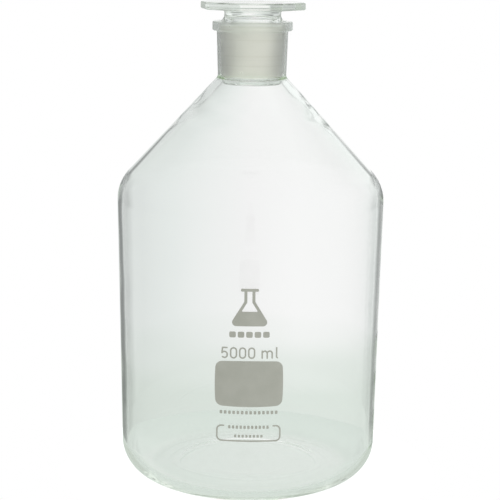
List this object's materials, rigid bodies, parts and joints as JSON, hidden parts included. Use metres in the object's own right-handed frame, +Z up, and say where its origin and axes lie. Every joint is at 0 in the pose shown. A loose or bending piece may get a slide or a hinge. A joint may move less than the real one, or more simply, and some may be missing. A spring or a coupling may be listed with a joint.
{
  "type": "reagent bottle",
  "caption": "Large narrow-mouth laboratory reagent bottle of clear glass with conical shoulder and a ground-in hollow stopper with flat octagonal head.",
  "frame": {"origin": "centre of the standing plane, on the bottle's axis", "axes": "+Z up along the bottle's axis, -Y towards the printed front"},
  "size_m": [0.1816, 0.1816, 0.3255],
  "materials": {
    "bottle_glass": "clear, with a fine-ground socket",
    "stopper_glass": "clear, with a fine-ground cone",
    "enamel": "matt fired-on enamel"
  },
  "bodies": {
    "bottle": {"bottle": "bottle_glass", "emblem": "enamel", "name_bar": "enamel", "capacity_mark": "enamel", "writing_field": "enamel", "origin_bar": "enamel", "batch_frame": "enamel", "batch_bars": "enamel"},
    "stopper": {"stopper": "stopper_glass"}
  },
  "joints": [
    {"name": "stopper_lift", "type": "slide", "parent": "bottle", "child": "stopper", "axis": [0, 0, 1], "range_m": [0, 0.06]}
  ]
}
